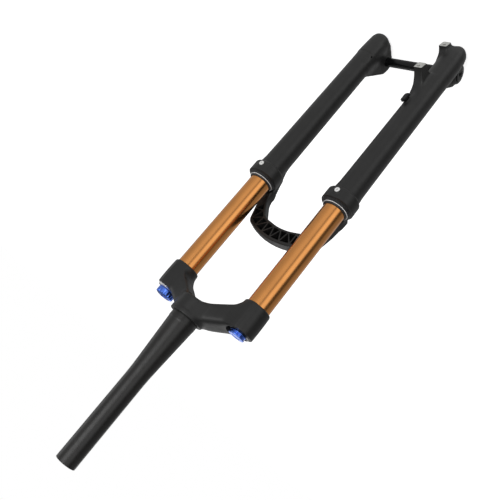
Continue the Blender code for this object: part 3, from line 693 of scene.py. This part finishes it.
def make_caps():
    """The fittings on top of the two stanchions."""
    outline = [
        (2.9, -48),
        (14.4, -48, 0.4),
        (14.4, CAP_SEAT + 0.15),
        (16.4, CAP_SEAT + 0.15, 0.2),
        (16.4, -27.9, 0.4),
        (13.6, -27.9, 0.2),
        (13.4, -28.3, 0.1),
        (8.4, -28.3, 0.2),
        (8.4, -23.5, 0.3),
        (2.9, -23.5, 0.3),
    ]
    cap = turned("air_top_cap_body", outline, BLACK_ANODISED, leg(1))
    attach(cap, "crown_assembly")
    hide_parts("air_top_cap")

    outline = [
        (8.8, -27.6, 0.2),
        (12.0, -27.6, 0.4),
        (12.0, -25.9, 0.3),
        (10.7, -25.3, 0.2),
        (10.7, -24.2, 0.2),
        (12.0, -23.5, 0.3),
        (12.0, -21.4, 1.0),
        (6.6, -21.4, 0.3),
        (6.2, -21.8, 0.2),
        (0, -21.8),
        (0, -22.8),
        (8.8, -22.8, 0.2),
    ]
    valve_cap = turned("air_valve_cap_shell", outline, BLUE, leg(1), sides=144)
    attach(valve_cap, "valve_cap")
    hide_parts("air_valve_cap")

    outline = [
        (3.3, -48),
        (14.4, -48, 0.4),
        (14.4, CAP_SEAT + 0.15),
        (17.2, CAP_SEAT + 0.15, 0.2),
        (17.2, -25.4, 0.8),
        (14.8, -24.6, 0.4),
        (3.3, -24.6, 0.2),
    ]
    cap = turned("damper_top_cap_body", outline, BARE, leg(-1))
    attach(cap, "crown_assembly")
    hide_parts("damper_top_cap")

    bottom, top, radius = -24.3, -14.4, 13.8
    outline = [
        (0, -40),
        (3.1, -40, 0.3),
        (3.1, bottom),
        (radius - 0.8, bottom, 0.2),
        (radius, bottom + 0.8, 0.3),
        (radius, bottom + 2.6),
        (radius, top - 3.4),
        (radius, top - 1.6, 1.2),
        (radius - 2.4, top - 0.4, 1.2),
        (radius - 3.6, top, 0.6),
        (6.6, top, 0.3),
        (6.2, top - 0.9, 0.2),
        (0, top - 0.9),
    ]
    knob = turned(
        "compression_dial_knob", outline, BLUE, leg(-1), sides=216, flutes=(12, 1.0, bottom + 2.6, top - 1.0, 9)
    )
    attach(knob, "compression_dial")
    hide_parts("compression_knob")


# Lowers

UPPER_LEG = [(-500, 18.9), (-310, 20.0), (-285, 20.3), (-270, 21.6), (-260, 22.8), (-252, 23.4), (-240, 23.4)]
RIGHT_FOOT = [
    (FOOT_BOTTOM, 13.8),
    (FOOT_BOTTOM + 2.5, 15.8),
    (FOOT_BOTTOM + 8, 17.4),
    (-568, 18.4),
    (-552, 19.2),
    (FOOT_STEP - 1, 19.4),
    (FOOT_STEP + 0.6, 18.8),
]
LEFT_FOOT = [(FOOT_BOTTOM, 9.6), (FOOT_BOTTOM + 3, 12.4), (FOOT_BOTTOM + 8.5, 15.6), (-572, 17.8), (-556, 19.0)]
right_radius = profile(RIGHT_FOOT + UPPER_LEG, 0.7)
left_radius = profile(LEFT_FOOT + UPPER_LEG, 1.5)


def mirrored(path):
    return path + [(-u, v, *rest) for u, v, *rest in reversed(path[:-1])]


def open_path(corners, count=8):
    """Points along a path of (u, v, radius) corners between two sharp ends."""
    padded = [corners[0][:2]] + list(corners[1:-1]) + [corners[-1][:2]]
    return filleted(padded, count)


OUTER = open_path(mirrored([(-77, -254), (-71.5, -222, 70), (-61.5, -189, 16), (0, -165, 130)]))
INNER = open_path(mirrored([(-61.5, -250), (-57, -230, 30), (-41, -206, 20), (0, -196.5, 90)]))


def arch_outline():
    return [tuple(point) for point in OUTER + list(reversed(INNER))]


ROOT_PLANES = hull_planes(
    [
        (61, -40.5, -238),
        (72, -40.5, -236),
        (61, -57, -244),
        (74, -57, -242),
        (57.5, -45, -253),
        (52.5, -36, -267),
        (53, -28, -276),
        (76, -50, -258),
        (64, -50, -262),
        (79, -30, -253),
        (60, -32, -288),
        (82, -33, -292),
        (83.5, -34, -268),
        (80, -42, -256),
    ]
)
LUG = filleted(
    [
        (-26, -505, 20),
        (-36, -524, 24),
        (AXLE_Y - 15.2, AXLE_Z + 14, 15),
        (AXLE_Y - 16.3, AXLE_Z - 16.3, 16.0),
        (AXLE_Y + 8, AXLE_Z - 15.6, 8),
        (-20, FOOT_BOTTOM + 2.5, 5),
        (-8, -560, 8),
        (-8, -520, 8),
    ],
    8,
)


def lowers_field(x, y, z):
    out = np.abs(x)
    from_leg = np.hypot(out - LEG_X, y - LEG_Y)
    radius = np.where(x > 0, left_radius(z), right_radius(z))
    body = smooth_max(from_leg - radius, slab(z, FOOT_BOTTOM, COLLAR_TOP), 1.2)
    heel = cone_field(out, y, z, (60.5, -25, -586.5), (60.5, -34, -586.5), 5.8, 4.2)
    body = smooth_min(body, heel, 5.0)
    bulge = np.hypot(np.abs(out - LEG_X) - 1.9, y - LEG_Y - 1.3) - 24.0
    bulge = smooth_max(bulge, -269.5 - z, 3.0)
    body = smooth_min(body, smooth_max(bulge, z - COLLAR_TOP, 0.8), 3.0)

    arch = polygon_field(arch_outline(), x, z)
    front = ARCH_FRONT + 0.045 * np.maximum(-168 - z, 0)
    arch = extruded(arch, slab(y, front, ARCH_REAR), 2.2)
    arch = smooth_min(arch, hull_field(ROOT_PLANES, out, y, z, 1.6), 5.0)
    body = smooth_min(body, arch, 6.0)

    lug = polygon_field([tuple(point) for point in LUG], y, z)
    lug = extruded(lug, slab(out, HUB_HALF + 0.8, LUG_OUTER - 4.5), 1.8)
    from_axle = np.hypot(y - AXLE_Y, z - AXLE_Z)
    eye = smooth_max(from_axle - LUG_R + 0.4, slab(out, HUB_HALF + 1.5, LUG_OUTER), 3.0)
    lug = smooth_min(lug, eye, 3.0)
    body = smooth_min(body, lug, 7.0)
    hub_seat = smooth_max(from_axle - 13.0, slab(out, HUB_HALF, 62), 0.8)
    body = smooth_min(body, hub_seat, 1.0)

    boss = cone_field(out, y, z, (LEG_X, LEG_Y + 15, BLEED_Z), (LEG_X, LEG_Y + BLEED_SEAT - 1, BLEED_Z), 5.6, 4.6)
    body = smooth_min(body, np.maximum(boss, y - LEG_Y - BLEED_SEAT), 4.0)

    body = smooth_min(body, post_field(x, y, z, POST_UPPER, -10.3, 5.2, 1.2), 9.0)
    body = smooth_min(body, post_field(x, y, z, POST_LOWER, -9.0, 6.0, 0), 9.0)
    pad = GUIDE_AT - GUIDE_OUT * 4.9 + Vector((0, 0, SADDLE_MIDDLE))
    half = Vector((0, 0, 4.0))
    boss = cone_field(x, y, z, tuple(pad - half), tuple(pad + half), 4.8, 4.8)
    return smooth_min(body, boss, 2.0)


def post_field(x, y, z, center, low_run, high_run, shift):
    """One brake post: a square bar from its face into the leg, wider where it meets the leg."""
    run = (y - center.y) * POST_RUN.y + (z - center.z) * POST_RUN.z
    depth = -((y - center.y) * POST_NORMAL.y + (z - center.z) * POST_NORMAL.z)
    grow = np.clip(depth, 0, 40)
    up = slab(run, low_run, high_run) - 0.012 * grow**2
    across = np.abs(x - center.x - shift - 0.16 * grow) - 6.5 - 0.05 * grow
    bar = extruded(extruded(up, across, 1.6), slab(depth, -1.5, 34), 0.5)
    return np.maximum(bar, LEG_Y - 2 - y)


def arch_cells():
    """Triangular pockets between zig-zag ribs, as outlines in the XZ plane."""
    count, start, end = 19, 0.13, 0.87  # of the cells, and the fractions of the arch's length they span
    rim, rib = 2.7, 1.5  # widths left at the arch's edges and between cells
    cells = []

    def at(path, fraction):
        lengths = [(b - a).length for a, b in zip(path, path[1:])]
        left = fraction * sum(lengths)
        for a, b, length in zip(path, path[1:], lengths):
            if left <= length:
                return a.lerp(b, left / length)
            left -= length
        return path[-1].copy()

    for i in range(count):
        stations = [start + (end - start) * (i + k) / (count + 1) for k in range(3)]
        near, far = (OUTER, INNER) if i % 2 else (INNER, OUTER)
        corners = []
        for k, station in enumerate(stations):
            own, other = (near, far) if k != 1 else (far, near)
            here, there = at(own, station), at(other, station)
            corners.append(here + (there - here).normalized() * rim)
        middle = sum(corners, Vector((0, 0))) / 3
        sides = [
            abs((middle - a).cross(b - a)) / (b - a).length for a, b in zip(corners, corners[1:] + corners[:1])
        ]
        shrink = 1 - rib / 2 / min(sides)
        cells.append([(*(middle + (corner - middle) * shrink), 0.7) for corner in corners])
    return cells


def make_lowers():
    low, high = millimetres("lowers")
    margin = Vector((3, 3, 3))
    lowers = sculpt("lowers_casting", lowers_field, low - margin, high + margin, 1.0, PAINT)
    upright = Matrix(((1, 0, 0, 0), (0, 0, -1, 0), (0, 1, 0, 0), (0, 0, 0, 1)))
    cells = [prism("cell", cell, -ARCH_REAR - 4, CELL_FLOOR, PAINT, upright, 0.82) for cell in arch_cells()]
    cut(lowers, joined(cells))
    for side in (1, -1):
        bore = [
            (0, FOOT_BOTTOM - 20),
            (10.6, FOOT_BOTTOM - 20),
            (10.6, FOOT_BOTTOM - 0.2),
            (9.5, FOOT_BOTTOM + 0.9),
            (9.5, -582, 0.4),
            (4.6, -582),
            (4.6, -568),
            (18.2, -568, 4),
            (18.2, -266),
            (20.0, -266),
            (20.0, -258),
            (20.6, -258),
            (20.6, COLLAR_TOP - 0.6),
            (21.4, COLLAR_TOP + 0.2),
            (24, COLLAR_TOP + 0.2),
            (24, COLLAR_TOP + 30),
            (0, COLLAR_TOP + 30),
        ]
        cut(lowers, turned("bore", bore, PAINT, leg(side)))
        hole = [(0, 15), (2.1, 15), (2.1, BLEED_SEAT - 0.8), (4.4, BLEED_SEAT - 0.1), (4.4, 40), (0, 40)]
        cut(lowers, turned("bleed_hole", hole, PAINT, leg(side, BLEED_Z), (0, 1, 0), 48))
    bar = [(0, -100), (AXLE_R + 0.3, -100), (AXLE_R + 0.3, 100), (0, 100)]
    cut(lowers, turned("axle_hole", bar, PAINT, (0, AXLE_Y, AXLE_Z), (1, 0, 0)))
    recess = [
        (0, AXLE_HEAD_X - 0.3),
        (AXLE_HEAD_R + 0.5, AXLE_HEAD_X - 0.3, 0.6),
        (AXLE_HEAD_R + 0.5, LUG_OUTER - 1.2),
        (AXLE_HEAD_R + 2.2, LUG_OUTER + 0.4),
        (AXLE_HEAD_R + 2.2, 95),
        (0, 95),
    ]
    cut(lowers, turned("axle_recess", recess, PAINT, (0, AXLE_Y, AXLE_Z), (1, 0, 0)))
    for center in (POST_UPPER, POST_LOWER):
        place = Matrix.Translation(center) @ along(POST_NORMAL)
        square = [(-15, -15), (15, -15), (15, 15), (-15, 15)]
        cut(lowers, prism("post_mill", square, 0, 12, PAINT, place))
        hole = [(0, -13), (2.5, -12), (2.5, -0.6), (3.1, 0.1), (3.1, 9), (0, 9)]
        cut(lowers, turned("post_hole", hole, PAINT, center, POST_NORMAL, 48))
    hole = [(0, -1.8), (1.5, -1.8), (1.5, -0.2), (2.0, 0.2), (2.0, 8), (0, 8)]
    cut(lowers, turned("dropout_hole", hole, PAINT, DROPOUT_HOLE, DROPOUT_OUT, 32))
    screw_hole = [(0, -2.8), (1.6, -2.8), (1.6, 8), (0, 8)]
    cut(lowers, turned("guide_hole", screw_hole, PAINT, GUIDE_AT, GUIDE_OUT, 32))

    lowers.data.materials.append(POST_FACE)
    for polygon in lowers.data.polygons:
        at = polygon.center / MM
        from_hole = at - DROPOUT_HOLE
        bare = from_hole.dot(DROPOUT_OUT) < -1.7 and from_hole.length < 2.4
        milled = polygon.normal.dot(POST_NORMAL) >= 0.999
        for center in (POST_UPPER, POST_LOWER):
            offset = at - center
            height = offset.dot(POST_NORMAL)
            in_hole = offset.cross(POST_NORMAL).length < 3.2 and -14 < height < 0.2
            bare = bare or in_hole or (milled and abs(height) < 0.05 and offset.length < 14)
        if bare:
            polygon.material_index = 1
    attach(lowers, "lowers")
    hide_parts("lowers")


def make_seals():
    for side, word in ((1, "left"), (-1, "right")):
        outline = [
            (STANCHION_R + 0.8, -257.5),
            (20.3, -257.5, 0.4),
            (20.3, COLLAR_TOP + 0.2),
            (23.2, COLLAR_TOP + 0.2, 0.2),
            (23.2, -249.4, 0.4),
            (22.1, -249.1, 0.2),
            (21.5, -248.9, 0.2),
            (21.4, -248.4, 0.2),
            (21.7, -247.9, 0.3),
            (20.9, -247.2, 0.5),
            (19.6, -247.0, 0.4),
            (18.9, -246.2, 0.3),
            (18.8, -245.4, 0.3),
            (19.3, -244.6, 0.4),
            (18.6, -243.6, 0.4),
            (STANCHION_R + 0.1, -242.8, 0.2),
            (STANCHION_R + 0.8, -246),
        ]
        wiper = turned(f"wiper_{word}", outline, RUBBER, leg(side))
        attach(wiper, "lowers")
        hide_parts(f"wiper_seal_{word}")

        wire, radius, turn_count = 0.75, 19.6, 16
        section = []
        for i in range(turn_count):
            a = 2 * math.pi * i / turn_count
            section.append((radius + wire * math.cos(a), -245.9 + wire * math.sin(a)))
        garter = turned(f"garter_{word}", section, WIRE, leg(side), sides=160)
        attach(garter, "lowers")
        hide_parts(f"garter_spring_{word}")

        outline = [
            (0, 20.6),
            (1.8, 20.6),
            (1.8, BLEED_SEAT - 0.5),
            (3.8, BLEED_SEAT + 0.1, 0.2),
            (3.8, BLEED_SEAT + 1.0, 0.4),
            (3.1, BLEED_SEAT + 1.4, 0.3),
            (1.6, BLEED_SEAT + 1.4, 0.15),
            (1.5, BLEED_SEAT - 1.6),
            (0, BLEED_SEAT - 1.8),
        ]
        screw = turned(f"bleed_screw_head_{word}", outline, NICKEL, leg(side, BLEED_Z), (0, 1, 0), 64)
        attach(screw, "lowers")
        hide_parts(f"bleed_screw_{word}")


def make_axle():
    outline = [
        (0, AXLE_TIP),
        (AXLE_R, AXLE_TIP, 1.2),
        (AXLE_R, -50, 0.3),
        (AXLE_R, AXLE_HEAD_X - 0.1),
        (AXLE_HEAD_R, AXLE_HEAD_X - 0.1, 0.3),
        (AXLE_HEAD_R, AXLE_HEAD_END, 1.4),
        (5.2, AXLE_HEAD_END, 0.4),
        (4.6, AXLE_HEAD_END - 0.8, 0.3),
        (0, AXLE_HEAD_END - 0.8),
    ]
    axle = turned("axle_bar", outline, AXLE_BLACK, (0, AXLE_Y, AXLE_Z), (1, 0, 0))
    hexagon = [(3.3 * math.cos(math.pi * i / 3), 3.3 * math.sin(math.pi * i / 3)) for i in range(6)]
    place = Matrix.Translation((0, AXLE_Y, AXLE_Z)) @ along((1, 0, 0))
    cut(axle, prism("hex_socket", hexagon, 71.5, 90, AXLE_BLACK, place))
    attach(axle, "axle")
    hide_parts("thru_axle")


def guide_field(x, y, z):
    """The hose saddle, in its own frame: X up the leg, Y across it, Z out."""
    flat = extruded(np.abs(x - SADDLE_MIDDLE) - 7.6, np.abs(y) - 4.8, 3.0)
    block = extruded(flat, slab(z, 0.3, 5.4), 1.6)
    groove = np.hypot(y + 5.0, z - 3.4) - 2.2
    return smooth_max(block, -groove, 0.5)


def make_guide():
    place = Matrix.Translation(GUIDE_AT) @ along(GUIDE_OUT)
    up = place.to_3x3().inverted() @ Vector((0, 0, 1))
    place = place @ Matrix.Rotation(math.atan2(up.y, up.x), 4, "Z")
    guide = sculpt("hose_saddle", guide_field, (-8, -7, -1), (12, 7, 7), 0.3, BLACK_ANODISED)
    guide.data.transform(Matrix.Scale(MM, 4) @ place @ Matrix.Scale(1 / MM, 4))
    hole = [(0, -5), (1.9, -5), (1.9, 3.7), (3.0, 4.6), (3.0, 10), (0, 10)]
    cut(guide, turned("hole", hole, BLACK_ANODISED, GUIDE_AT, GUIDE_OUT, 32))
    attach(guide, "lowers")
    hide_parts("hose_guide")
    outline = [
        (0, -2.5),
        (1.3, -2.5),
        (1.3, 3.6),
        (2.7, 4.8),
        (2.7, 5.7, 0.7),
        (1.3, 6.1, 0.2),
        (1.2, 5.0),
        (0, 4.8),
    ]
    screw = turned("hose_saddle_screw", outline, DARK_STEEL, GUIDE_AT, GUIDE_OUT, 48)
    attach(screw, "lowers")
    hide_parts("hose_guide_screw")


def make_foot_pieces():
    hexagon = [(8.1 * math.cos(math.pi * i / 3), 8.1 * math.sin(math.pi * i / 3), 0.5) for i in range(6)]
    nut = prism("foot_nut_hexagon", hexagon, -589.5, -583.3, STEEL, Matrix.Translation(leg(1)))
    chamfer = [(6.9, -592), (12, -592), (12, -580), (8.4, -580), (8.4, -588.2)]
    cut(nut, turned("chamfer", chamfer, STEEL, leg(1)))
    dimple = [(0, -592), (3.2, -592), (3.2, -589.4), (2.4, -588.4), (0, -588.4)]
    cut(nut, turned("dimple", dimple, STEEL, leg(1), sides=48))
    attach(nut, "lowers")
    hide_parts("foot_nut_left")

    bottom, top, radius = -592.3, -586.2, 7.2
    outline = [
        (0, bottom + 0.6),
        (3.6, bottom + 0.6, 0.2),
        (4.0, bottom, 0.2),
        (radius, bottom, 0.9),
        (radius, top, 0.4),
        (2.2, top),
        (2.2, -560, 0.3),
        (0, -560),
    ]
    knob = turned("rebound_dial_knob", outline, BLUE, leg(-1), sides=144, flutes=(12, 0.7, bottom, top - 0.6, 6))
    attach(knob, "rebound_dial")
    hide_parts("rebound_knob")


def finish_inner_nodes():
    """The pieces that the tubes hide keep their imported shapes."""
    looks = {
        "air_valve_core": BARE,
        "air_seal_head": BLACK_ANODISED,
        "damper_cartridge_tube": BARE,
        "base_valve": BARE,
        "damper_seal_head": BLACK_ANODISED,
        "foam_ring_left": FOAM,
        "foam_ring_right": FOAM,
        "bush_upper_left": BUSH,
        "bush_upper_right": BUSH,
        "bush_lower_left": BUSH,
        "bush_lower_right": BUSH,
        "air_shaft": STEEL,
        "air_piston": BLACK_ANODISED,
        "top_out_bumper": ELASTOMER,
        "bottom_out_bumper": ELASTOMER,
        "foot_nut_right": STEEL,
        "crush_washer_left": BARE,
        "crush_washer_right": BARE,
        "damper_shaft": STEEL,
        "damper_piston": BARE,
    }
    for node, look in looks.items():
        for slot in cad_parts[node].material_slots:
            slot.material = look


# Stage


def make_floor():
    """A pale floor that neither lights the fork nor shows in its tubes, which would flatten them."""
    nodes = Nodes("floor_white")
    nodes.link(nodes.blend(nodes.noise(0.6, 2), (0.86, 0.86, 0.86), (0.9, 0.9, 0.9)), "Base Color")
    nodes.set(Roughness=0.9, Emission_Color=(1, 1, 1, 1), Emission_Strength=0.75)
    low, _ = cad_box
    height = low[2] / MM - 2
    shape = bmesh.new()
    reach = 30000
    corners = [shape.verts.new((u * reach, v * reach, height)) for u, v in ((-1, -1), (1, -1), (1, 1), (-1, 1))]
    shape.faces.new(corners)
    floor = finish_mesh("floor", shape, nodes.material, False)
    floor.visible_glossy = False
    floor.visible_diffuse = False
    floor.visible_shadow = False


STUDIO_POWER = 0.85
# the studio's brightness by compass angle in degrees, from +X towards +Y: soft boxes with dark gaps
STUDIO = [
    (-180, 0.75),
    (-155, 0.4),
    (-130, 0.3),
    (-105, 0.4),
    (-85, 0.7),
    (-60, 0.45),
    (-25, 0.38),
    (-12, 0.12),
    (0, 0.12),
    (9, 0.16),
    (15, 1.0),
    (22, 1.5),
    (44, 1.5),
    (52, 1.0),
    (58, 0.5),
    (64, 0.5),
    (70, 1.0),
    (92, 1.0),
    (120, 0.75),
    (160, 0.6),
    (180, 0.8),
]


def make_world():
    """White behind the fork; what lights it and shows in it is a ring of soft boxes, brighter below."""
    world = bpy.data.worlds.new("studio")
    bpy.context.scene.world = world
    world.use_nodes = True
    tree = world.node_tree
    links = tree.links
    place = tree.nodes.new("ShaderNodeTexCoord")
    parts = tree.nodes.new("ShaderNodeSeparateXYZ")
    links.new(place.outputs["Generated"], parts.inputs[0])
    angle = tree.nodes.new("ShaderNodeMath")
    angle.operation = "ARCTAN2"
    links.new(parts.outputs["Y"], angle.inputs[0])
    links.new(parts.outputs["X"], angle.inputs[1])
    turn = tree.nodes.new("ShaderNodeMapRange")
    turn.inputs["From Min"].default_value = -math.pi
    turn.inputs["From Max"].default_value = math.pi
    links.new(angle.outputs[0], turn.inputs["Value"])
    ramp = tree.nodes.new("ShaderNodeValToRGB")
    stops = ramp.color_ramp.elements
    stops.remove(stops[1])
    brightest = max(value for _, value in STUDIO)
    for i, (degrees, value) in enumerate(STUDIO):
        stop = stops[0] if i == 0 else stops.new(degrees / 360 + 0.5)
        stop.position = degrees / 360 + 0.5
        stop.color = [value / brightest] * 3 + [1]
    links.new(turn.outputs["Result"], ramp.inputs["Fac"])
    height = tree.nodes.new("ShaderNodeMapRange")
    height.inputs["From Min"].default_value = -1
    height.inputs["To Min"].default_value = 0.95 * brightest * STUDIO_POWER
    height.inputs["To Max"].default_value = 0.75 * brightest * STUDIO_POWER
    links.new(parts.outputs["Z"], height.inputs["Value"])
    shown = tree.nodes["Background"]
    links.new(ramp.outputs["Color"], shown.inputs["Color"])
    links.new(height.outputs["Result"], shown.inputs["Strength"])
    white = tree.nodes.new("ShaderNodeBackground")
    white.inputs["Color"].default_value = (1, 1, 1, 1)
    white.inputs["Strength"].default_value = 1.0
    mixed = tree.nodes.new("ShaderNodeMixShader")
    links.new(tree.nodes.new("ShaderNodeLightPath").outputs["Is Camera Ray"], mixed.inputs[0])
    links.new(shown.outputs[0], mixed.inputs[1])
    links.new(white.outputs[0], mixed.inputs[2])
    links.new(mixed.outputs[0], tree.nodes["World Output"].inputs["Surface"])
    bpy.context.scene.view_settings.view_transform = "Standard"


def make_light(name, toward, distance, size, power):
    """A soft box that faces the fork's middle from a direction."""
    light = bpy.data.lights.new(name, "AREA")
    light.shape = "RECTANGLE"
    light.size, light.size_y = size
    light.energy = power
    made = bpy.data.objects.new(name, light)
    middle = Vector((0, 0, -0.2))
    made.location = middle + Vector(toward).normalized() * distance
    made.rotation_euler = Vector(toward).to_track_quat("Z", "Y").to_euler()
    bpy.context.scene.collection.objects.link(made)


CAMERA_AT = Vector((0.47566, 0.56718, 0.08830))
CAMERA_BACK = Vector((0.60685, 0.74158, 0.28598))
CAMERA_UP = Vector((-0.35165, 0.57319, -0.74013))
CAMERA_LENS = 40.08


def make_camera():
    camera = bpy.data.cameras.new("camera")
    camera.lens = CAMERA_LENS
    camera.sensor_width = 36
    camera.clip_start, camera.clip_end = 0.01, 100
    made = bpy.data.objects.new("camera", camera)
    across = CAMERA_UP.cross(CAMERA_BACK).normalized()
    up = CAMERA_BACK.cross(across).normalized()
    turn = Matrix((across, up, CAMERA_BACK.normalized())).transposed().to_4x4()
    made.matrix_world = Matrix.Translation(CAMERA_AT) @ turn
    bpy.context.scene.collection.objects.link(made)
    bpy.context.scene.camera = made


make_crown()
make_steerer()
make_stanchions()
make_caps()
make_lowers()
make_seals()
make_axle()
make_guide()
make_foot_pieces()
finish_inner_nodes()
make_floor()
make_world()
make_light("key", (0.15, 1.0, 0.5), 1.8, (1.2, 1.2), 9)
make_light("side", (-1.0, 0.25, 0.4), 1.8, (1.0, 1.0), 2)
make_light("rim", (-0.4, -1.0, 0.5), 1.8, (1.0, 1.0), 3)
make_camera()
